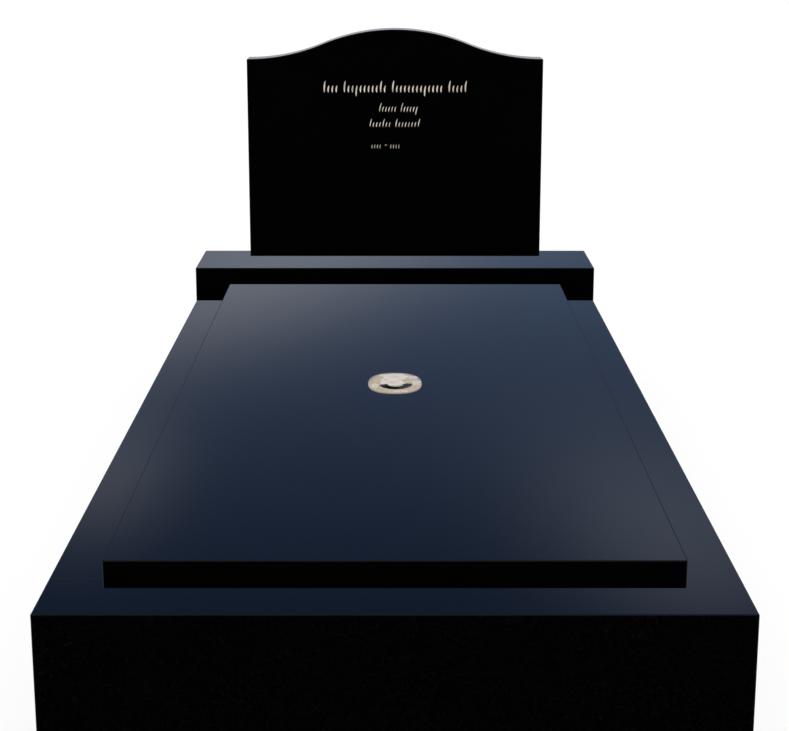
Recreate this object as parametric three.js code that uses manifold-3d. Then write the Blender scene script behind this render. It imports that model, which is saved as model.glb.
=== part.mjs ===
// Kerb set in polished black granite: kerbs, ledger, base and a headstone with a serpentine top
import * as THREE from 'three';
import { mergeVertices } from 'three/addons/utils/BufferGeometryUtils.js';
import Module from 'manifold-3d';

const wasm = await Module();
wasm.setup();

// Millimetres, +Z up. The foot of the grave is towards -Y and the headstone stands at +Y.
// The origin is on the ground, in the middle of the plot.

// Plot, 7 ft by 3 ft, edged with kerbs
const PLOT_WIDTH = 914;
const PLOT_LENGTH = 2134;
const KERB_HEIGHT = 203;

// Ledger, the slab that covers the grave
const LEDGER_THICKNESS = 38;
const LEDGER_SIDE_MARGIN = 77; // Kerb left bare beside the ledger
const LEDGER_FOOT_MARGIN = 90; // Kerb left bare in front of it
const LEDGER_BEARING = 35; // How far each kerb reaches under it

// Base, across the head end
const BASE_HEIGHT = 76;
const BASE_LEDGE = 150; // Base left bare in front of the headstone

// Headstone, flush with the back of the base
const STONE_THICKNESS = 75;
const STONE_SIDE_MARGIN = 114; // Base left bare beside the headstone
const SHOULDER_HEIGHT = 462;
const CROWN_RISE = 67; // Crown above the shoulders
const CROWN_SHARE = 0.49; // Crown's part of the sum of the crown's and a hollow's radius
const ARC_STEPS = 8; // Curve divisions, doubled along each arc

// Finish and joints
const ARRIS = 2; // Chamfer on every edge
const JOINT = 0.3; // Joint between neighbours

// Medallion, a crowned ceramic oval in the middle of the ledger
const MEDALLION_WIDTH = 96;
const MEDALLION_LENGTH = 143;
const MEDALLION_EDGE = 2.5; // Thickness at the rim
const MEDALLION_CROWN = 1; // Rise from the rim to the middle
const MEDALLION_EASE = 1.2; // Rounding of the upper edge
const OVAL_FULLNESS = 2.4; // Exponent of the oval, 2 for an ellipse
const OVAL_SEGMENTS = 64;
const OVAL_EASE_STEPS = 3;
const OVAL_CROWN_RINGS = 5;

// Inscription: rows of upright strokes that stand in for its words. Each word is a string of the
// kinds below. Below is the drop from the crown to a row's top, offset its shift to the right, lean
// the slope of its strokes and weight their width.
const INSCRIPTION = [
  {
    words: ['tsss', 'tsslsssssts', 'tssssssslssss', 'tssst'],
    width: 337, height: 28, below: 116, offset: 0, lean: 0.09, weight: 3.6,
  },
  {
    words: ['tsssss', 'tssssl'],
    width: 93, height: 22, below: 167, offset: 7, lean: 0.23, weight: 2.4,
  },
  {
    words: ['tssstss', 'tsssssst'],
    width: 120, height: 20, below: 204, offset: -2, lean: 0.23, weight: 2.4,
  },
  {
    words: ['ssss', 'd', 'ssss'],
    width: 69, height: 17, below: 257, offset: -22, lean: 0.09, weight: 1.8,
  },
];
const WORD_GAP = 1; // Space between words, in strokes
const STROKE_BOW = 0.05; // Bow to the left of the way from start to end, as a share of the height
const GROOVE_SLOPE = 0.8; // Depth of a stroke, as a share of half its width
const GROOVE_LIFT = 0.1; // How far a stroke's cutter lies off the face, for a clean cut
const GROOVE_RINGS = 4;

// Start x and y, and end x and y, of each kind of stroke. They are shares of the space for one
// stroke across, and of the row's height upwards.
const STROKES = {
  t: [0.5, 0, 0.5, 1], // Tall
  s: [0.5, 0, 0.5, 0.6], // Short
  l: [0.5, -0.32, 0.5, 0.6], // Low, reaching under the row
  d: [0, 0.45, 1, 0.45], // Dash
};

// Sizes that follow
const sideKerbWidth = LEDGER_SIDE_MARGIN + LEDGER_BEARING;
const footKerbWidth = LEDGER_FOOT_MARGIN + LEDGER_BEARING;
const baseDepth = BASE_LEDGE + STONE_THICKNESS;
const headKerbWidth = baseDepth + LEDGER_BEARING;
const sideKerbLength = PLOT_LENGTH - footKerbWidth - headKerbWidth - 2 * JOINT;
const ledgerWidth = PLOT_WIDTH - 2 * LEDGER_SIDE_MARGIN;
const ledgerLength = PLOT_LENGTH - LEDGER_FOOT_MARGIN - baseDepth - JOINT;
const stoneWidth = PLOT_WIDTH - 2 * STONE_SIDE_MARGIN;
const crownHeight = SHOULDER_HEIGHT + CROWN_RISE;
const foot = -PLOT_LENGTH / 2;
const head = PLOT_LENGTH / 2;
const kerbTop = KERB_HEIGHT + JOINT;
const baseTop = kerbTop + BASE_HEIGHT + JOINT;

function granite() {
  return new THREE.MeshStandardMaterial({ color: 0x08090b, roughness: 0.07, metalness: 0 });
}

function ceramic() {
  return new THREE.MeshStandardMaterial({ color: 0xb8ab9b, roughness: 0.25, metalness: 0 });
}

// An extrusion with a chamfer round both of its faces, from z = 0 up to its thickness
function chamferedExtrusion(outline, thickness) {
  const geometry = new THREE.ExtrudeGeometry(outline, {
    depth: thickness - 2 * ARRIS,
    bevelEnabled: true,
    bevelSegments: 1,
    bevelThickness: ARRIS,
    bevelSize: ARRIS,
    bevelOffset: -ARRIS,
    curveSegments: ARC_STEPS,
  });
  return geometry.translate(0, 0, ARRIS);
}

function toSolid(geometry) {
  geometry.deleteAttribute('normal');
  geometry.deleteAttribute('uv');
  const merged = mergeVertices(geometry);
  const mesh = new wasm.Mesh({
    numProp: 3,
    vertProperties: new Float32Array(merged.attributes.position.array),
    triVerts: new Uint32Array(merged.index.array),
  });
  return new wasm.Manifold(mesh);
}

function toGeometry(solid) {
  const { vertProperties, triVerts } = solid.getMesh();
  const geometry = new THREE.BufferGeometry();
  geometry.setAttribute('position', new THREE.Float32BufferAttribute(vertProperties, 3));
  geometry.setIndex(new THREE.Uint32BufferAttribute(triVerts, 1));
  geometry.computeVertexNormals();
  return geometry;
}

function boxBetween(low, high) {
  const size = new THREE.Vector3().subVectors(high, low);
  const middle = new THREE.Vector3().addVectors(low, high).multiplyScalar(0.5);
  return new THREE.BoxGeometry(size.x, size.y, size.z).translate(middle.x, middle.y, middle.z);
}

// A slab, centred on its own origin in plan, with its underside at z = 0. Its upper and its upright
// edges are chamfered, but the edges of a squared side are left sharp, to butt on a neighbour.
function slab(width, depth, height, squared = []) {
  const spare = (side) => (squared.includes(side) ? ARRIS : 0);
  const corner = new THREE.Vector3(-width / 2 - spare('left'), -depth / 2 - spare('front'), 0);
  const far = new THREE.Vector3(width / 2 + spare('right'), depth / 2 + spare('back'), height);
  const outline = new THREE.Shape();
  outline.moveTo(corner.x + ARRIS, corner.y);
  outline.lineTo(far.x - ARRIS, corner.y);
  outline.lineTo(far.x, corner.y + ARRIS);
  outline.lineTo(far.x, far.y - ARRIS);
  outline.lineTo(far.x - ARRIS, far.y);
  outline.lineTo(corner.x + ARRIS, far.y);
  outline.lineTo(corner.x, far.y - ARRIS);
  outline.lineTo(corner.x, corner.y + ARRIS);
  outline.closePath();
  const block = chamferedExtrusion(outline, height + ARRIS).translate(0, 0, -ARRIS);
  const low = new THREE.Vector3(
    -width / 2 - ARRIS + spare('left'), -depth / 2 - ARRIS + spare('front'), 0);
  const high = new THREE.Vector3(
    width / 2 + ARRIS - spare('right'), depth / 2 + ARRIS - spare('back'), height + ARRIS);
  return toGeometry(toSolid(block).intersect(toSolid(boxBetween(low, high))));
}

// The headstone's face: a hollow arc rises from each level shoulder and runs into the crown's arc.
// It reaches below y = 0, where the foot is squared off.
function stoneOutline() {
  const side = stoneWidth / 2;
  const level = side - ARRIS; // Where each hollow meets its shoulder
  const radii = (level ** 2 + CROWN_RISE ** 2) / (2 * CROWN_RISE);
  const crownRadius = radii * CROWN_SHARE;
  const hollowRadius = radii - crownRadius;
  const crownCentre = crownHeight - crownRadius;
  const hollowCentre = SHOULDER_HEIGHT + hollowRadius;
  const turn = Math.atan2(hollowCentre - crownCentre, level);
  const outline = new THREE.Shape();
  outline.moveTo(-side, -ARRIS);
  outline.lineTo(side, -ARRIS);
  outline.lineTo(side, SHOULDER_HEIGHT - ARRIS);
  outline.lineTo(level, SHOULDER_HEIGHT);
  outline.absarc(level, hollowCentre, hollowRadius, -Math.PI / 2, turn - Math.PI, true);
  outline.absarc(0, crownCentre, crownRadius, turn, Math.PI - turn, false);
  outline.absarc(-level, hollowCentre, hollowRadius, -turn, -Math.PI / 2, true);
  outline.lineTo(-side, SHOULDER_HEIGHT - ARRIS);
  outline.closePath();
  return outline;
}

// The cutter of one V-cut stroke: a four-sided spindle, pointed at both ends and bowed sideways
function spindle(start, end, bow, weight) {
  const way = new THREE.Vector2().subVectors(end, start);
  const length = way.length();
  const profile = [new THREE.Vector2(0, 0)];
  for (let ring = 1; ring <= GROOVE_RINGS; ring += 1) {
    const t = ring / (GROOVE_RINGS + 1);
    profile.push(new THREE.Vector2(weight / 2 * Math.sqrt(Math.sin(Math.PI * t)), t * length));
  }
  profile.push(new THREE.Vector2(0, length));
  const geometry = new THREE.LatheGeometry(profile, 4);
  const points = geometry.attributes.position;
  for (let i = 0; i < points.count; i += 1) {
    const t = points.getY(i) / length;
    points.setX(i, points.getX(i) - 4 * bow * t * (1 - t));
  }
  geometry.scale(1, 1, GROOVE_SLOPE);
  geometry.rotateZ(way.angle() - Math.PI / 2);
  return geometry.translate(start.x, start.y, 0);
}

// The cutters of one row, on the face's own plane with x across it and y up from the stone's foot
function rowOfStrokes({ words, width, height, below, offset, lean, weight }) {
  const pitch = width / (words.join('').length + WORD_GAP * (words.length - 1));
  const lowest = crownHeight - below - height;
  const cutters = [];
  let left = offset - width / 2;
  for (const word of words) {
    for (const kind of word) {
      const [x0, y0, x1, y1] = STROKES[kind];
      const start = new THREE.Vector2(left + x0 * pitch + y0 * lean * height, lowest + y0 * height);
      const end = new THREE.Vector2(left + x1 * pitch + y1 * lean * height, lowest + y1 * height);
      cutters.push(spindle(start, end, STROKE_BOW * height, weight));
      left += pitch;
    }
    left += WORD_GAP * pitch;
  }
  return cutters;
}

// The headstone with its inscription cut in, its foot at z = 0 and its face at y = 0
function headstone() {
  const block = toSolid(chamferedExtrusion(stoneOutline(), STONE_THICKNESS));
  const low = new THREE.Vector3(-stoneWidth, -2 * ARRIS, -ARRIS);
  const high = new THREE.Vector3(stoneWidth, 0, STONE_THICKNESS + ARRIS);
  const squaredFoot = block.subtract(toSolid(boxBetween(low, high)));
  const cutters = INSCRIPTION.flatMap(rowOfStrokes);
  const carved = cutters.reduce((stone, cutter) => {
    cutter.translate(0, 0, STONE_THICKNESS + GROOVE_LIFT);
    return stone.subtract(toSolid(cutter));
  }, squaredFoot);
  const geometry = toGeometry(carved);
  geometry.rotateX(Math.PI / 2);
  return geometry.translate(0, STONE_THICKNESS, 0);
}

// The medallion: a round crowned disc of unit radius, drawn out into a full oval
function medallion() {
  const profile = [new THREE.Vector2(0, 0), new THREE.Vector2(1, 0)];
  const ease = Math.min(MEDALLION_EASE, MEDALLION_EDGE / 2);
  const easeShare = ease / (MEDALLION_WIDTH / 2);
  for (let step = 0; step <= OVAL_EASE_STEPS; step += 1) {
    const angle = step / OVAL_EASE_STEPS * Math.PI / 2;
    const radius = 1 - easeShare * (1 - Math.cos(angle));
    profile.push(new THREE.Vector2(radius, MEDALLION_EDGE - ease * (1 - Math.sin(angle))));
  }
  for (let ring = OVAL_CROWN_RINGS - 1; ring >= 0; ring -= 1) {
    const share = ring / OVAL_CROWN_RINGS;
    const height = MEDALLION_EDGE + MEDALLION_CROWN * (1 - share ** 2);
    profile.push(new THREE.Vector2((1 - easeShare) * share, height));
  }
  const geometry = new THREE.LatheGeometry(profile, OVAL_SEGMENTS);
  geometry.rotateX(Math.PI / 2);
  const points = geometry.attributes.position;
  const power = 2 / OVAL_FULLNESS;
  for (let i = 0; i < points.count; i += 1) {
    const x = points.getX(i);
    const y = points.getY(i);
    const radius = Math.hypot(x, y);
    const fullX = radius > 0 ? Math.sign(x) * Math.abs(x / radius) ** power * radius : 0;
    const fullY = radius > 0 ? Math.sign(y) * Math.abs(y / radius) ** power * radius : 0;
    points.setXYZ(i, fullX * MEDALLION_WIDTH / 2, fullY * MEDALLION_LENGTH / 2, points.getZ(i));
  }
  return geometry;
}

function place(name, geometry, material, x, y, z) {
  const mesh = new THREE.Mesh(geometry, material);
  mesh.name = name;
  mesh.position.set(x, y, z);
  return mesh;
}

const kerbs = new THREE.Group();
const sideKerbX = PLOT_WIDTH / 2 - sideKerbWidth / 2;
const sideKerbY = foot + footKerbWidth + JOINT + sideKerbLength / 2;
kerbs.add(
  place('kerb_foot', slab(PLOT_WIDTH, footKerbWidth, KERB_HEIGHT, ['back']), granite(),
    0, foot + footKerbWidth / 2, 0),
  place('kerb_left', slab(sideKerbWidth, sideKerbLength, KERB_HEIGHT, ['front', 'back']), granite(),
    -sideKerbX, sideKerbY, 0),
  place('kerb_right', slab(sideKerbWidth, sideKerbLength, KERB_HEIGHT, ['front', 'back']), granite(),
    sideKerbX, sideKerbY, 0),
  place('kerb_head', slab(PLOT_WIDTH, headKerbWidth, KERB_HEIGHT, ['front']), granite(),
    0, head - headKerbWidth / 2, 0),
);

const cover = new THREE.Group();
cover.position.set(0, foot + LEDGER_FOOT_MARGIN + ledgerLength / 2, kerbTop);
cover.add(
  place('ledger', slab(ledgerWidth, ledgerLength, LEDGER_THICKNESS, ['back']), granite(), 0, 0, 0),
  place('medallion', medallion(), ceramic(), 0, 0, LEDGER_THICKNESS + JOINT),
);

const memorial = new THREE.Group();
memorial.position.y = head - baseDepth;
memorial.add(
  place('base', slab(PLOT_WIDTH, baseDepth, BASE_HEIGHT), granite(), 0, baseDepth / 2, kerbTop),
  place('headstone', headstone(), granite(), 0, BASE_LEDGE, baseTop),
);

const kerbSet = new THREE.Group();
kerbSet.add(kerbs, cover, memorial);

export default kerbSet;
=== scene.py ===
# %% [markdown]
# # A kerb set with a headstone, in polished black granite
#
# A kerb set closes a whole grave. Four kerbs frame the plot, a ledger covers it, and at the head a
# low base carries the upright headstone. Every block is sawn from the same nearly black granite
# and then polished like a mirror, so the picture shows mostly what the stone reflects.
#
# The solids were drawn first, as plain blocks, and this script dresses them. It loads those
# blocks, and models each one again with eased edges, finer cuts and a real finish, in the same
# place.

# %% Load the frame
import math

import bpy
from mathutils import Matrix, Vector


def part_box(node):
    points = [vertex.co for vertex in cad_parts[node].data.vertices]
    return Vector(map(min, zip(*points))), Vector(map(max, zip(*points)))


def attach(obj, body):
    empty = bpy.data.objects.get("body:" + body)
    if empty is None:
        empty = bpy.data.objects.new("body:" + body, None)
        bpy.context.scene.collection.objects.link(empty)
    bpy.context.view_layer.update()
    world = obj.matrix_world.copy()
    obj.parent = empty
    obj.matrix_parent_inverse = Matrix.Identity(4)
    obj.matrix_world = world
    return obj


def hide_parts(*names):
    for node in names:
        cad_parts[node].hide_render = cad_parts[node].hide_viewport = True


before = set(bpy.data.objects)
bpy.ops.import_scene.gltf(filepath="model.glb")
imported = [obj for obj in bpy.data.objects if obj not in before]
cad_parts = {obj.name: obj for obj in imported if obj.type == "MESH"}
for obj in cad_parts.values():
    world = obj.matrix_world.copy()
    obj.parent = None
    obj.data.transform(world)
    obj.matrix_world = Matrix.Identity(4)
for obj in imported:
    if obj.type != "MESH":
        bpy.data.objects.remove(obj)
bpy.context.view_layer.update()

print("blocks:", ", ".join(sorted(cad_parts)))

# %% [markdown]
# ## The camera
#
# The photograph looks along the middle of the plot from the foot, from just above eye height of a
# kneeling visitor. The focal length, height and tilt were solved from the corners of the blocks. A
# level camera with shift would keep the uprights parallel, but the photograph's kerbs run together
# slightly towards the bottom, so the camera is tilted down and has no shift.

# %% Camera
IMAGE_WIDTH = 789
FOCAL_PIXELS = 1762.4
CAMERA_PLACE = (0, -3.1318, 1.0382)
CAMERA_TILT = 13.978     # Degrees below level
CAMERA_TURN = 0.0147     # Degrees to the left

bpy.ops.object.camera_add(location=CAMERA_PLACE)
camera = bpy.context.object
camera.rotation_euler = (math.radians(90 - CAMERA_TILT), 0, math.radians(CAMERA_TURN))
camera.data.sensor_width = 36
camera.data.lens = camera.data.sensor_width * FOCAL_PIXELS / IMAGE_WIDTH
bpy.context.scene.camera = camera
print("lens:", round(camera.data.lens, 2), "mm")

# %% [markdown]
# ## Writing shaders as sums
#
# A node tree is quicker to read as a sum than as boxes and wires. This class wraps one socket. The
# usual signs of arithmetic on it add Math nodes, and `node` adds any other node and gives its
# output.

# %% Shader arithmetic
class Wire:
    """One output socket of a node tree, that Python's own signs of arithmetic work on."""

    def __init__(self, tree, socket=None):
        self.tree = tree
        self.socket = socket

    def node(self, kind, settings=None, sockets=None, out=0):
        """Adds a node, gives it its settings, then its values or links, and wraps one output."""
        node = self.tree.nodes.new(kind)
        for name, value in (settings or {}).items():
            setattr(node, name, value)
        for name, value in (sockets or {}).items():
            if isinstance(value, Wire):
                self.tree.links.new(value.socket, node.inputs[name])
            else:
                node.inputs[name].default_value = value
        return Wire(self.tree, node.outputs[out] if node.outputs else None)

    def maths(self, operation, *values):
        """A Math node on this wire and other values."""
        return self.node("ShaderNodeMath", {"operation": operation},
                         dict(enumerate([self, *values])))

    def __add__(self, other):
        return self.maths("ADD", other)

    def __radd__(self, other):
        return self.maths("ADD", other)

    def __mul__(self, other):
        return self.maths("MULTIPLY", other)

    def __rmul__(self, other):
        return self.maths("MULTIPLY", other)

    def __sub__(self, other):
        return self.maths("SUBTRACT", other)

    def __rsub__(self, other):
        return (self * -1).maths("ADD", other)

    def __truediv__(self, other):
        return self.maths("DIVIDE", other)

    def __pow__(self, other):
        return self.maths("POWER", other)

    def step(self, start, end):
        """A smooth step: 0 where this wire is at start, 1 where it is at end."""
        return self.node("ShaderNodeMapRange", {"interpolation_type": "SMOOTHSTEP"},
                         {"Value": self, "From Min": start, "From Max": end})

    def tint(self, colour):
        """A colour times this wire."""
        return self.node("ShaderNodeVectorMath", {"operation": "SCALE"},
                         {0: colour, "Scale": self})

    def plus(self, other):
        """The sum of two colours."""
        return self.node("ShaderNodeVectorMath", {"operation": "ADD"}, {0: self, 1: other})

    def over(self, under, top):
        """A mix of two colours, with this wire as its factor."""
        return self.node("ShaderNodeMix", {"data_type": "RGBA"}, {0: self, 6: under, 7: top}, out=2)

    def split(self):
        """The three parts of a vector."""
        parts = self.node("ShaderNodeSeparateXYZ", sockets={0: self}).socket.node
        return [Wire(self.tree, socket) for socket in parts.outputs]


def paint(red, green, blue):
    """A colour read off a picture, in steps of 255, as the linear colour that a shader takes."""
    shares = [value / 255 for value in (red, green, blue)]
    return (*[s / 12.92 if s < 0.04045 else ((s + 0.055) / 1.055) ** 2.4 for s in shares], 1)


print("mid grey in linear light:", round(paint(128, 128, 128)[0], 3))

# %% [markdown]
# ## The studio
#
# Black granite has almost no colour of its own. Its flat tops mirror the sky behind the set at a
# low angle, where stone reflects up to a third of the light, and its upright faces mirror the
# ground, where it reflects a twenty-fifth. So the sky that the polish sees decides the picture.
#
# Large lamps could be hung around the set, but a lamp has to be far away and very soft to give
# these slow gradients. The world shader does it in a few sums: a blue-grey dusk that darkens with
# height, three soft patches of light behind the set, and a bright haze at the horizon, which the
# top of the headstone mirrors. To the left and the right a dark hedge hides the haze, so that the
# eased sides of the ledger show as thin dark lines. Only gloss sees this sky. Everything else is
# lit by an even white, as in a light tent, and the floor is pale and wide.

# %% Sky
TENT_LIGHT = 1.3
DUSK = (0.175, 0.230, 0.320)
DUSK_HEIGHT = 10                  # Degrees up where it has this colour
DUSK_DEPTH = 16                   # Degrees that thin it to a third
NIGHT = (-0.048, -0.043, -0.005)  # What the dusk tends to, below black
# Each patch: azimuth from +Y to the right, height, the two spreads, all in degrees, then its turn
# in radians and its colour
PATCHES = [
    (-4.7, 11.0, 5.8, 1.6, -0.28, (0.263, 0.245, 0.212)),
    (-9.8, 17.4, 1.3, 1.8, 1.11, (0.177, 0.178, 0.177)),
    (9.7, 19.4, 3.4, 2.0, 0.40, (0.194, 0.208, 0.232)),
]
HAZE = (0.50, 0.515, 0.56, 1)
HEDGE = (0.008, 0.012, 0.022, 1)
ZENITH = (0.35, 0.40, 0.47)
GROUND = (0.28, 0.29, 0.31)
# Where each begins and where it is full, in degrees up, or aside for the hedge's two ends
HAZE_BAND = (9, 4)
HEDGE_BANDS = ((7, 10), (60, 45))
ZENITH_BAND = (40, 75)
HORIZON = (-1.5, 0.5)
# The upright faces mirror no ground in front of the set, and the tops' far edges none behind it.
# Both go by the share of the way to the north, and the second also by degrees up.
GROUND_BAND = (-0.85, -0.45)
BEHIND_BANDS = ((0.72, 0.9), (-36, -26))
DEGREES = 180 / math.pi

world = bpy.data.worlds.new("studio")
world.use_nodes = True
world.cycles.sampling_method = "NONE"
bpy.context.scene.world = world
world.node_tree.nodes.clear()
tent = Wire(world.node_tree)

east, north, up = tent.node("ShaderNodeTexCoord", out="Generated").split()
height = up.maths("ARCSINE") * DEGREES
azimuth = east.maths("ARCTAN2", north) * DEGREES


def fade(distance):
    """A bell curve of a distance given in spreads."""
    return (distance * -0.5).maths("EXPONENT")


sky = ((height - DUSK_HEIGHT) / -DUSK_DEPTH).maths("EXPONENT").tint(DUSK).plus(NIGHT)
for side, lift, wide, tall, turn, colour in PATCHES:
    across = (azimuth - side) * math.cos(turn) + (height - lift) * math.sin(turn)
    along = (height - lift) * math.cos(turn) - (azimuth - side) * math.sin(turn)
    sky = sky.plus(fade((across / wide) ** 2 + (along / tall) ** 2).tint(colour))
sky = sky.node("ShaderNodeVectorMath", {"operation": "MAXIMUM"}, {0: sky, 1: (0, 0, 0)})
aside = azimuth.maths("ABSOLUTE")
hedge = aside.step(*HEDGE_BANDS[0]) * aside.step(*HEDGE_BANDS[1])
sky = height.step(*HAZE_BAND).over(sky, hedge.over(HAZE, HEDGE))
sky = sky.plus(height.step(*ZENITH_BAND).tint(ZENITH))
behind = north.step(*BEHIND_BANDS[0]) * height.step(*BEHIND_BANDS[1])
ground = (north.step(*GROUND_BAND) * (1 - behind)).tint(GROUND)
mirrored = height.step(*HORIZON).over(ground, sky)

glossy = tent.node("ShaderNodeLightPath", out="Is Glossy Ray")
seen = glossy.over((TENT_LIGHT, TENT_LIGHT, TENT_LIGHT, 1), mirrored)
background = tent.node("ShaderNodeBackground", sockets={"Color": seen, "Strength": 1})
tent.node("ShaderNodeOutputWorld", sockets={"Surface": background})
bpy.context.scene.view_settings.view_transform = "Standard"
print("patches of light:", len(PATCHES))

# %% Floor
FLOOR_SIDE = 90
FLOOR_GREY = 0.14     # With the glow, this comes out as just white and no brighter
FLOOR_GLOW = 0.845    # Keeps the shade beside the set light


def deselect():
    """Leaves nothing selected, in object mode."""
    if bpy.context.object and bpy.context.object.mode != "OBJECT":
        bpy.ops.object.mode_set(mode="OBJECT")
    bpy.ops.object.select_all(action="DESELECT")


deselect()
bpy.ops.mesh.primitive_plane_add(size=FLOOR_SIDE)
floor = bpy.context.object
floor.name = "floor"
floor.visible_glossy = False
floor_paint = bpy.data.materials.new("floor_paint")
floor_paint.use_nodes = True
shader = floor_paint.node_tree.nodes["Principled BSDF"]
shader.inputs["Base Color"].default_value = (FLOOR_GREY, FLOOR_GREY, FLOOR_GREY, 1)
shader.inputs["Roughness"].default_value = 0.9
shader.inputs["Specular IOR Level"].default_value = 0.1
shader.inputs["Emission Color"].default_value = (1, 1, 1, 1)
shader.inputs["Emission Strength"].default_value = FLOOR_GLOW
floor.data.materials.append(floor_paint)
print("floor:", FLOOR_SIDE, "m across")

# %% [markdown]
# ## Polished granite
#
# Black granite is a tight mass of dark crystals, one to two millimetres across, with a few paler
# grains of feldspar and tiny flakes of mica. Polished, the grains can hardly be told apart: each
# one is a slightly different black, and takes a slightly different polish. Cells of a Voronoi
# texture are such grains, because they meet edge to edge as crystals do. A Noise texture alone
# would look like cloudy paint.

# %% Polished granite
def new_material(name, **constants):
    """A material with one Principled shader, and the values that are the same all over it."""
    material = bpy.data.materials.new(name)
    material.use_nodes = True
    shader = material.node_tree.nodes["Principled BSDF"]
    for socket, value in constants.items():
        shader.inputs[socket.replace("_", " ")].default_value = value
    return material, shader, Wire(material.node_tree)


def connect(shader, **wires):
    """Links wires to the shader's sockets of the same names."""
    for socket, wire in wires.items():
        wire.tree.links.new(wire.socket, shader.inputs[socket.replace("_", " ")])


GRAIN = 620      # Grains in a metre
FLAKE = 260      # Mica flakes in a metre
DARK_GRAIN = (0.0001, 0.0001, 0.0001, 1)
PALE_GRAIN = (0.0014, 0.0014, 0.0013, 1)
FELDSPAR = (0.0034, 0.0034, 0.0036, 1)
MICA = (0.0065, 0.0058, 0.005, 1)

granite, shader, g = new_material("polished_granite", IOR=1.5)
place = g.node("ShaderNodeTexCoord", out="Object")
grain = place.node("ShaderNodeTexVoronoi", sockets={"Vector": place, "Scale": GRAIN}, out="Color")
shade, polish, kind = grain.split()
cloud = place.node("ShaderNodeTexNoise", sockets={
    "Vector": place, "Scale": 9, "Detail": 4, "Roughness": 0.6})
flake = place.node("ShaderNodeTexVoronoi", sockets={"Vector": place, "Scale": FLAKE},
                   out="Distance")
feldspar = kind.step(0.93, 0.97)
mica = flake.step(0.09, 0.03)
black = (shade * (0.5 + cloud * 0.6)).over(DARK_GRAIN, PALE_GRAIN)
flecked = mica.over(feldspar.over(black, FELDSPAR), MICA)
connect(shader, Base_Color=flecked, Roughness=0.035 + polish * 0.03 + feldspar * 0.03)
print("a grain is", round(1000 / GRAIN, 1), "mm across")

# %% [markdown]
# ## Sawn granite
#
# Nobody polishes what nobody sees. The undersides, the inner faces of the kerbs and the ends that
# butt together are left as the saw left them: grey, dull, and combed with fine parallel lines
# where the blade went through. A Wave texture gives the lines, and a little noise breaks them up.

# %% Sawn granite
SAW_LINES = 55   # Saw marks in a metre, before they are broken up

sawn, shader, g = new_material("sawn_granite", IOR=1.5)
place = g.node("ShaderNodeTexCoord", out="Object")
grain = place.node("ShaderNodeTexVoronoi", sockets={"Vector": place, "Scale": GRAIN}, out="Color")
shade, dust, _ = grain.split()
lines = place.node("ShaderNodeTexWave", {"bands_direction": "DIAGONAL"},
                   {"Vector": place, "Scale": SAW_LINES, "Distortion": 1.6, "Detail": 3})
cloud = place.node("ShaderNodeTexNoise", sockets={"Vector": place, "Scale": 14, "Detail": 5})
tone = shade * 0.5 + cloud * 0.35 + lines * 0.15
relief = place.node("ShaderNodeBump", sockets={
    "Height": lines * 0.7 + shade * 0.3, "Strength": 0.5, "Distance": 0.0004})
connect(shader, Base_Color=tone.over(paint(48, 48, 50), paint(96, 95, 93)),
        Roughness=0.68 + dust * 0.12, Normal=relief)
print("saw marks:", SAW_LINES, "in a metre")

# %% [markdown]
# ## The slabs
#
# Kerbs, ledger and base are plain slabs, and what makes them look like stone is their edges. A
# mason eases each one by two millimetres, round enough not to chip, except where two blocks butt.
# A cube is added at each block's own size, and the edges to ease are picked by their place,
# because they are the same few on every slab: the upper ones and the upright ones.

# %% Slabs
ARRIS = 0.002         # Radius of an eased edge
ARRIS_STEPS = 4
TOUCH = 0.0001        # Two places closer than this are the same
SMOOTH_ANGLE = math.radians(35)


def near(a, b):
    """True where two lengths are the same."""
    return abs(a - b) < TOUCH


def select_edges(piece, chosen):
    """Goes into edit mode with only the edges selected whose two ends pass a test."""
    bpy.ops.object.mode_set(mode="EDIT")
    bpy.ops.mesh.select_mode(type="EDGE")
    bpy.ops.mesh.select_all(action="DESELECT")
    bpy.ops.object.mode_set(mode="OBJECT")
    points = piece.data.vertices
    for edge in piece.data.edges:
        edge.select = chosen(*[points[i].co for i in edge.vertices])
    bpy.ops.object.mode_set(mode="EDIT")


def smooth(piece):
    """Shades the round edges smooth, and keeps the big faces as flat as they are."""
    bpy.ops.object.shade_smooth_by_angle(angle=SMOOTH_ANGLE)
    bpy.ops.object.modifier_add(type="WEIGHTED_NORMAL")
    weighted = piece.modifiers[-1]
    weighted.keep_sharp = True
    weighted.weight = 100
    bpy.ops.object.modifier_apply(modifier=weighted.name)


def ease(piece, chosen):
    """Rounds the edges that pass a test."""
    select_edges(piece, chosen)
    bpy.ops.mesh.bevel(offset=ARRIS, segments=ARRIS_STEPS, profile=0.5, affect="EDGES")
    bpy.ops.mesh.select_all(action="SELECT")
    bpy.ops.mesh.normals_make_consistent(inside=False)
    bpy.ops.object.mode_set(mode="OBJECT")


def finish_piece(piece, node):
    """Puts a finished piece in its node's place."""
    piece.visible_glossy = False
    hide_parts(node)
    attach(piece, "root")
    print(piece.name, len(piece.data.polygons), "faces")


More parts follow.
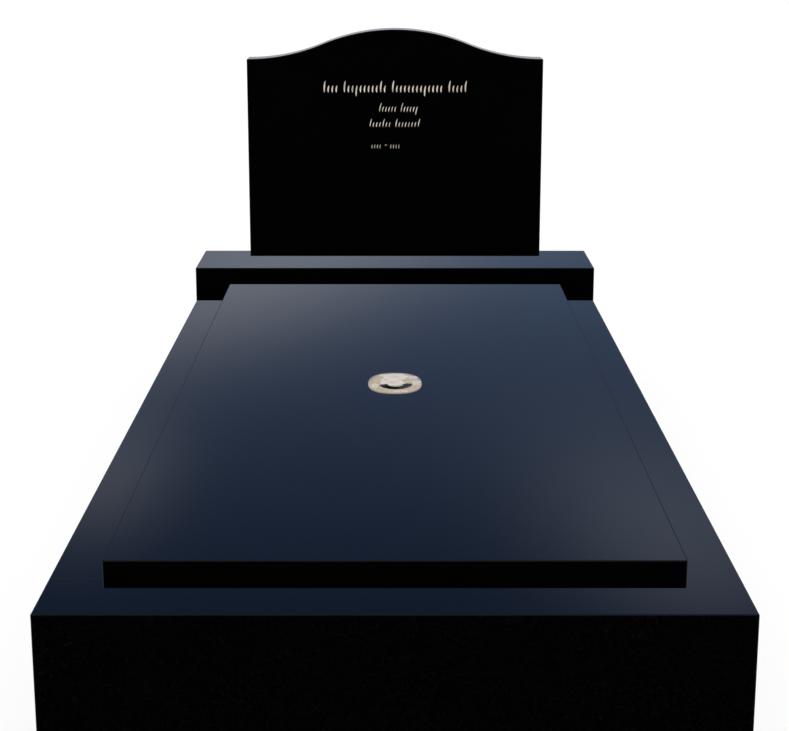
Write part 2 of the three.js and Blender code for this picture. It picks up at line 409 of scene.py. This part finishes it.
def make_slab(node, squared=(), rough=()):
    """A block at its node's size. Squared and rough sides are named as 'x-', 'x+', 'y-' or 'y+'."""
    low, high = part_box(node)
    deselect()
    bpy.ops.mesh.primitive_cube_add(size=1, location=(low + high) / 2, scale=high - low)
    piece = bpy.context.object
    piece.name = node + "_stone"
    bpy.ops.object.transform_apply(location=True, rotation=False, scale=True)
    sides = {"x-": (0, low.x), "x+": (0, high.x), "y-": (1, low.y), "y+": (1, high.y)}

    def on_side(names, points):
        return any(all(near(p[sides[n][0]], sides[n][1]) for p in points) for n in names)

    ease(piece, lambda a, b: not (near(a.z, low.z) and near(b.z, low.z))
         and not on_side(squared, (a, b)))
    smooth(piece)
    piece.data.materials.append(granite)
    piece.data.materials.append(sawn)
    points = piece.data.vertices
    for face in piece.data.polygons:
        corners = [points[i].co for i in face.vertices]
        if on_side(rough, corners) or all(near(p.z, low.z) for p in corners):
            face.material_index = 1
    finish_piece(piece, node)
    return piece


make_slab("kerb_foot", squared=["y+"], rough=["y+"])
make_slab("kerb_left", squared=["y-", "y+"], rough=["y-", "y+", "x+"])
make_slab("kerb_right", squared=["y-", "y+"], rough=["y-", "y+", "x-"])
make_slab("kerb_head", squared=["y-"], rough=["y-"])
make_slab("ledger", squared=["y+"], rough=["y+"])
make_slab("base")

# %% [markdown]
# ## The headstone
#
# The top of the stone is a serpentine: from each shoulder a hollow arc rises and runs over into
# the round crown without a kink. Drawn by hand, that is a single point that is pulled up the side
# and then swung about three centres. The spin operator does just that, and keeps the arcs true.
#
# Where a hollow runs into the crown, both centres and the joint lie on one line. So the two radii
# add up to a length that follows from the width and the rise alone, and the crown takes a share.

# %% Headstone outline
SHOULDER = 0.462
CROWN_SHARE = 0.49
HOLLOW_STEPS = 28
CROWN_STEPS = 56

stone_low, stone_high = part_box("headstone")
foot_z = stone_low.z
side = stone_high.x
rise = stone_high.z - foot_z - SHOULDER
level = side - ARRIS
radii = (level ** 2 + rise ** 2) / (2 * rise)
crown_radius = radii * CROWN_SHARE
hollow_radius = radii - crown_radius
crown_centre = Vector((0, stone_low.y, stone_high.z - crown_radius))
hollow_centre = Vector((level, stone_low.y, foot_z + SHOULDER + hollow_radius))
swing = math.asin(level / radii)


def pull(x, z):
    """Draws a straight edge from the selected point."""
    bpy.ops.mesh.extrude_vertices_move(TRANSFORM_OT_translate={"value": (x, 0, z)})


deselect()
bpy.ops.mesh.primitive_plane_add(size=0.01, location=(-side, stone_low.y, foot_z))
headstone = bpy.context.object
headstone.name = "headstone_stone"
bpy.ops.object.transform_apply(location=True)
bpy.ops.object.mode_set(mode="EDIT")
bpy.ops.mesh.select_mode(type="VERT")
bpy.ops.mesh.merge(type="CENTER")
pull(0, SHOULDER)
pull(side - level, 0)
left_hollow = Vector((-level, hollow_centre.y, hollow_centre.z))
bpy.ops.mesh.spin(steps=HOLLOW_STEPS, angle=swing, center=left_hollow, axis=(0, 1, 0))
bpy.ops.mesh.spin(steps=CROWN_STEPS, angle=-2 * swing, center=crown_centre, axis=(0, 1, 0))
bpy.ops.mesh.spin(steps=HOLLOW_STEPS, angle=swing, center=hollow_centre, axis=(0, 1, 0))
pull(side - level, 0)
pull(0, -SHOULDER)
bpy.ops.object.mode_set(mode="OBJECT")
drawn = [v.co for v in headstone.data.vertices]
print("outline:", len(drawn), "points, crown at", round(max(p.z for p in drawn), 4),
      "ends at", [round(c, 4) for c in drawn[-1]])

# %% [markdown]
# The outline is closed to a face and pulled back to the stone's thickness. Every edge of the front
# and the back is then eased, and so are the two shoulder corners. The foot stays sharp on the
# base.

# %% Headstone block
bpy.ops.object.mode_set(mode="EDIT")
bpy.ops.mesh.select_all(action="SELECT")
bpy.ops.mesh.edge_face_add()
bpy.ops.mesh.extrude_region_move(
    TRANSFORM_OT_translate={"value": (0, stone_high.y - stone_low.y, 0)})
bpy.ops.mesh.select_all(action="SELECT")
bpy.ops.mesh.remove_doubles(threshold=TOUCH / 10)
bpy.ops.mesh.normals_make_consistent(inside=False)


def on_outline(a, b):
    """True for an edge round the front or the back, or across at a shoulder's corner."""
    if near(a.z, foot_z) and near(b.z, foot_z):
        return False
    corner = all(near(abs(p.x), side) and near(p.z, foot_z + SHOULDER) for p in (a, b))
    return near(a.y, b.y) or corner


ease(headstone, on_outline)
print("block:", [round(c, 4) for c in headstone.dimensions])

# %% [markdown]
# ## The inscription
#
# A stone like this carries four centred rows. This one has no words of its own yet, so rows of
# upright strokes stand for them, in the same places and at the same weight. They are cut as a
# mason cuts, with a V-shaped groove that swells and runs out to a point. Each stroke is a curve
# with four sides whose radius swells from nothing and back, and all of them together are one
# cutter.

# %% Inscription
# Each row: its words, width and height, drop from the crown, shift to the right, lean and weight
ROWS = [
    (["tsss", "tsslsssssts", "tssssssslssss", "tssst"], 0.337, 0.028, 0.116, 0, 0.09, 0.0036),
    (["tsssss", "tssssl"], 0.093, 0.022, 0.167, 0.007, 0.23, 0.0024),
    (["tssstss", "tsssssst"], 0.120, 0.020, 0.204, -0.002, 0.23, 0.0024),
    (["ssss", "d", "ssss"], 0.069, 0.017, 0.257, -0.022, 0.09, 0.0018),
]
WORD_GAP = 1          # Space between words, in strokes
STROKE_BOW = 0.05     # Bow to the left, as a share of the row's height
# Start and end of a tall, a short and a low stroke and of a dash, in shares of the space for one
# stroke across and of the row's height upwards
STROKES = {
    "t": (0.5, 0, 0.5, 1),
    "s": (0.5, 0, 0.5, 0.6),
    "l": (0.5, -0.32, 0.5, 0.6),
    "d": (0, 0.45, 1, 0.45),
}
STROKE_POINTS = 15
GROOVE_SLOPE = 0.8    # Depth of a groove, as a share of half its width
GROOVE_LIFT = 0.0001  # How far a stroke lies off the face

strokes = bpy.data.curves.new("strokes", "CURVE")
strokes.dimensions = "3D"
strokes.bevel_depth = 1
strokes.bevel_resolution = 0
strokes.use_fill_caps = False


def add_stroke(start, end, bow, weight):
    """One stroke on the stone's face, as a run of points that bows to the left of its way."""
    way = end - start
    left_of_way = Vector((-way.y, way.x)).normalized()
    spline = strokes.splines.new("POLY")
    spline.points.add(STROKE_POINTS - 1)
    for i, point in enumerate(spline.points):
        t = i / (STROKE_POINTS - 1)
        at = start + way * t + left_of_way * (4 * bow * t * (1 - t))
        point.co = (at.x, 0, at.y, 1)
        point.radius = max(weight / 2 * math.sqrt(max(math.sin(math.pi * t), 0)), 0.00002)


for words, width, tall, below, offset, lean, weight in ROWS:
    pitch = width / (len("".join(words)) + WORD_GAP * (len(words) - 1))
    lowest = stone_high.z - below - tall
    left = offset - width / 2
    for word in words:
        for kind in word:
            x0, y0, x1, y1 = STROKES[kind]
            add_stroke(Vector((left + x0 * pitch + y0 * lean * tall, lowest + y0 * tall)),
                       Vector((left + x1 * pitch + y1 * lean * tall, lowest + y1 * tall)),
                       STROKE_BOW * tall, weight)
            left += pitch
        left += WORD_GAP * pitch
print("strokes:", len(strokes.splines))

# %% [markdown]
# The strokes become one mesh with closed tips, flattened to the depth of the cut and set on the
# face. A Boolean modifier then takes them out of the stone, and what they leave is painted.

# %% Cut the inscription
deselect()
cutter = bpy.data.objects.new("cutter", strokes)
bpy.context.scene.collection.objects.link(cutter)
bpy.context.view_layer.objects.active = cutter
cutter.select_set(True)
bpy.ops.object.convert(target="MESH")
cutter = bpy.context.object
bpy.ops.object.mode_set(mode="EDIT")
bpy.ops.mesh.select_all(action="SELECT")
bpy.ops.mesh.remove_doubles(threshold=0.00005)
bpy.ops.mesh.select_all(action="DESELECT")
bpy.ops.mesh.select_mode(type="EDGE")
bpy.ops.mesh.select_non_manifold()
open_edges = sum(v.select for v in cutter.data.vertices)
bpy.ops.mesh.edge_face_add()
bpy.ops.mesh.select_all(action="SELECT")
bpy.ops.mesh.normals_make_consistent(inside=False)
bpy.ops.object.mode_set(mode="OBJECT")
cutter.scale = (1, GROOVE_SLOPE, 1)
cutter.location = (0, stone_low.y - GROOVE_LIFT, 0)
bpy.ops.object.transform_apply(location=True, rotation=False, scale=True)

deselect()
bpy.context.view_layer.objects.active = headstone
headstone.select_set(True)
bpy.ops.object.modifier_add(type="BOOLEAN")
cut = headstone.modifiers[-1]
cut.object = cutter
cut.operation = "DIFFERENCE"
cut.solver = "EXACT"
bpy.ops.object.modifier_apply(modifier=cut.name)
bpy.data.objects.remove(cutter)
smooth(headstone)
print("open points:", open_edges, "faces after the cut:", len(headstone.data.polygons))

# %% [markdown]
# ## Paint in the grooves
#
# The cuts are painted by brush with a warm off-white. It is matt, lies a little unevenly on the
# sawn bottom of the groove, and has weathered to grey in places.

# %% Groove paint
ROWS_BELOW = 0.1      # All the rows are farther than this below the crown

groove_paint, shader, g = new_material("groove_paint")
place = g.node("ShaderNodeTexCoord", out="Object")
cloud = place.node("ShaderNodeTexNoise", sockets={"Vector": place, "Scale": 90, "Detail": 4})
brush = place.node("ShaderNodeTexNoise", sockets={"Vector": place, "Scale": 1400, "Detail": 2})
relief = place.node("ShaderNodeBump", sockets={
    "Height": brush, "Strength": 0.35, "Distance": 0.0002})
connect(shader, Base_Color=cloud.step(0.35, 0.7).over(paint(232, 222, 208), paint(186, 178, 168)),
        Roughness=0.5 + brush * 0.2, Normal=relief)


def in_groove(at):
    """True a little way behind the face, inside its eased edges."""
    return (stone_low.y + TOUCH / 5 < at.y < stone_low.y + ARRIS
            and abs(at.x) < side - ARRIS * 2 and at.z < stone_high.z - ROWS_BELOW)


for surface in (granite, sawn, groove_paint):
    headstone.data.materials.append(surface)
painted = 0
for face in headstone.data.polygons:
    face.material_index = 0
    if near(face.center.z, foot_z):
        face.material_index = 1
    elif in_groove(face.center):
        face.material_index = 2
        painted += 1
finish_piece(headstone, "headstone")
print("painted faces:", painted)

# %% [markdown]
# ## The medallion
#
# An oval plaque of glazed ceramic is bedded in the middle of the ledger. It is a little fuller
# than an ellipse, rounded at its upper edge, and swells towards the middle by a millimetre. A
# circle is drawn out to that oval, and its rings are then extruded and shrunk one after another.

# %% Medallion
OVAL_POINTS = 192
OVAL_FULLNESS = 2.4
RIM = 0.0025          # Height of the rim
CROWN = 0.001         # Swell above it
RIM_EASE = 0.0012
RIM_STEPS = 6
CROWN_RINGS = 12

plaque_low, plaque_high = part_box("medallion")
plaque_centre = (plaque_low + plaque_high) / 2
half = (plaque_high - plaque_low) / 2

deselect()
bpy.ops.mesh.primitive_circle_add(vertices=OVAL_POINTS, radius=1, fill_type="NGON",
                                  location=(0, 0, 0))
medallion = bpy.context.object
medallion.name = "medallion_plaque"
for point in medallion.data.vertices:
    for axis in (0, 1):
        share = point.co[axis]
        point.co[axis] = math.copysign(abs(share) ** (2 / OVAL_FULLNESS), share) * half[axis]
bpy.ops.object.mode_set(mode="EDIT")
bpy.ops.mesh.select_mode(type="FACE")
bpy.ops.mesh.select_all(action="SELECT")

rings = [(1, RIM - RIM_EASE)]
for i in range(1, RIM_STEPS + 1):
    angle = math.pi / 2 * i / RIM_STEPS
    rings.append((1 - RIM_EASE / half.x * (1 - math.cos(angle)),
                  RIM - RIM_EASE * (1 - math.sin(angle))))
upper_share = rings[-1][0]
for i in range(1, CROWN_RINGS):
    share = 1 - i / CROWN_RINGS
    rings.append((upper_share * share, RIM + CROWN * (1 - share ** 2)))
share_now, height_now = 1, 0
for share, lift in rings:
    bpy.ops.mesh.extrude_region_move(
        TRANSFORM_OT_translate={"value": (0, 0, lift - height_now)})
    shrink = share / share_now
    bpy.ops.transform.resize(value=(shrink, shrink, 1))
    share_now, height_now = share, lift
bpy.ops.mesh.extrude_region_move(
    TRANSFORM_OT_translate={"value": (0, 0, RIM + CROWN - height_now)})
bpy.ops.mesh.merge(type="CENTER")
bpy.ops.mesh.select_all(action="SELECT")
bpy.ops.mesh.normals_make_consistent(inside=False)
bpy.ops.object.mode_set(mode="OBJECT")
medallion.location = (plaque_centre.x, plaque_centre.y, plaque_low.z)
bpy.ops.object.transform_apply(location=True, rotation=False, scale=True)
bpy.ops.object.shade_smooth_by_angle(angle=SMOOTH_ANGLE)
print("medallion:", [round(c * 1000, 1) for c in medallion.dimensions], "mm")

# %% [markdown]
# ## The painted picture
#
# The picture under the glaze is flat: two pale blooms and some buds over a crescent of dark
# leaves, on a mottled ground. It could be an image, but a shape that is worked out from the place
# of each point stays sharp from any distance. A ring of petals is a disc whose radius swells and
# shrinks with the angle, a bloom is such rings laid on each other, and a leaf is what two bowed
# lines enclose.

# %% Painted picture
MILLIMETRE = 0.001
GLAZE_LIGHT = 1.22         # The glaze is painted this much darker, for the strength of the light
# Places in millimetres from the middle of the plaque, to the right and to the head.
# Each bloom: its middle, its radius and the number of its rings of petals
BLOOMS = [(39, 4, 9, 2), (38, -12, 7, 2), (-36, -19, 7, 2), (-36, -33, 6, 2), (33, 36, 9, 2),
          (-21, 52, 8, 2), (4, -63, 6, 2), (17, -61, 6, 2), (-16, 18, 10, 2), (1, 38, 24, 4),
          (-5, -3, 23, 4)]
RING_SIZES = (1, 0.76, 0.52, 0.29)
RING_PETALS = (7, 6, 5, 4)
NOTCH = 0.16               # Depth of the notch between two petals
WREATH_AT = (1, -13)       # Middle of the arc of leaves
WREATH_WIDE, WREATH_TALL = 25, 32
WREATH_FROM, WREATH_TO = 202, 350         # Degrees round from the right
WREATH_ROWS = ((0.76, 11), (1, 15))       # Each row's size and its number of leaves
BLACK_FROM, BLACK_TO = 0.12, 0.68         # Along the arc, the share of it with black leaves
LEAF_SPLAY = 18            # Degrees that the leaves turn in and out by turns
LEAF_LONG, LEAF_WIDE = 10, 5              # From the middle of a leaf to its tip and to its side

enamel, shader, g = new_material("enamel_picture", IOR=1.5, Specular_IOR_Level=0.01)
place = g.node("ShaderNodeTexCoord", out="Object")
wx, wy, wz = place.split()
x = (wx - plaque_centre.x) / MILLIMETRE
y = (wy - plaque_centre.y) / MILLIMETRE
mottle = place.node("ShaderNodeTexNoise", sockets={
    "Vector": place, "Scale": 160, "Detail": 5, "Roughness": 0.65})
blotch = place.node("ShaderNodeTexNoise", sockets={"Vector": place, "Scale": 60, "Detail": 3})
wobble = (blotch - 0.5) * 0.5


def glaze(*colour):
    """A glaze that comes out as the colour read off the picture."""
    return (*[part / GLAZE_LIGHT for part in paint(*colour)[:3]], 1)


def oval(ax, ay, wide, tall):
    """Distance from a point, in shares of an oval's two half widths."""
    return (((x - ax) / wide) ** 2 + ((y - ay) / tall) ** 2).maths("SQRT")


def bloom(under, at_x, at_y, radius, rings):
    """Lays an open bloom over the picture so far, one scalloped ring of petals on another."""
    reach = oval(at_x, at_y, radius, radius) + wobble * 0.05
    angle = (y - at_y).maths("ARCTAN2", x - at_x)
    for ring in range(rings):
        lobes = ((angle + ring * 0.9 + at_y) * (RING_PETALS[ring] / 2)).maths("SINE")
        lobes = lobes.maths("ABSOLUTE") ** 0.6
        edge = reach / ((1 - NOTCH + lobes * NOTCH) * RING_SIZES[ring])
        shade = edge.step(0.95, 0.55) * 0.7 + lobes.step(0.45, 0.1) * edge.step(0.5, 0.9) * 0.5
        under = edge.step(1.0, 0.95).over(under, shade.over(PALE_PETAL, SHADED_PETAL))
    return under


def leaf(under, at_x, at_y, degrees, colour):
    """Lays a pointed leaf over the picture so far, with a vein along it."""
    c, s = math.cos(math.radians(degrees)), math.sin(math.radians(degrees))
    along = (x - at_x) * c + (y - at_y) * s
    across = ((y - at_y) * c - (x - at_x) * s).maths("ABSOLUTE")
    blade = across / LEAF_WIDE + (along / LEAF_LONG) ** 2
    vein = across.step(0.4, 0.1) * 0.15
    return blade.step(1.03, 0.93).over(under, vein.over(colour, LEAF_VEIN))


PALE_PETAL = glaze(220, 214, 207)
SHADED_PETAL = glaze(184, 174, 162)
BLACK_LEAF = glaze(1, 2, 3)
SLATE_LEAF = glaze(50, 56, 66)
LEAF_VEIN = glaze(88, 88, 84)
# Grey of the painted shade on the half of the rim towards the head
FAR_RIM_SHADE = glaze(132, 132, 134)
CRAZE = glaze(96, 84, 70)
ground = mottle.step(0.3, 0.7).over(glaze(173, 159, 142), glaze(199, 186, 169))
rim_share = oval(0, 0, half.x / MILLIMETRE, half.y / MILLIMETRE)
# A grey band of painted shade round the half of the rim towards the head
far_rim_shade = (rim_share + wobble * 0.3).step(0.84, 1.0) * y.step(-20, 30)
picture = far_rim_shade.over(ground, FAR_RIM_SHADE)
for spot in BLOOMS:
    picture = bloom(picture, *spot)
for size, count in WREATH_ROWS:
    for i in range(count):
        share = i / (count - 1)
        turn = math.radians(WREATH_FROM + (WREATH_TO - WREATH_FROM) * share)
        way = math.atan2(WREATH_TALL * math.cos(turn), -WREATH_WIDE * math.sin(turn))
        colour = BLACK_LEAF if BLACK_FROM < share < BLACK_TO else SLATE_LEAF
        picture = leaf(picture, WREATH_AT[0] + size * WREATH_WIDE * math.cos(turn),
                       WREATH_AT[1] + size * WREATH_TALL * math.sin(turn),
                       math.degrees(way) + LEAF_SPLAY * (1 if i % 2 else -1), colour)

crackle = place.node("ShaderNodeTexVoronoi", {"feature": "DISTANCE_TO_EDGE"},
                     {"Vector": place, "Scale": 330})
craze = crackle.step(0.02, 0.006)
relief = place.node("ShaderNodeBump", sockets={
    "Height": mottle - craze * 0.3, "Strength": 0.12, "Distance": 0.0002})
connect(shader, Base_Color=(craze * 0.16).over(picture, CRAZE),
        Roughness=0.2 + mottle * 0.1, Normal=relief)
medallion.data.materials.append(enamel)
finish_piece(medallion, "medallion")
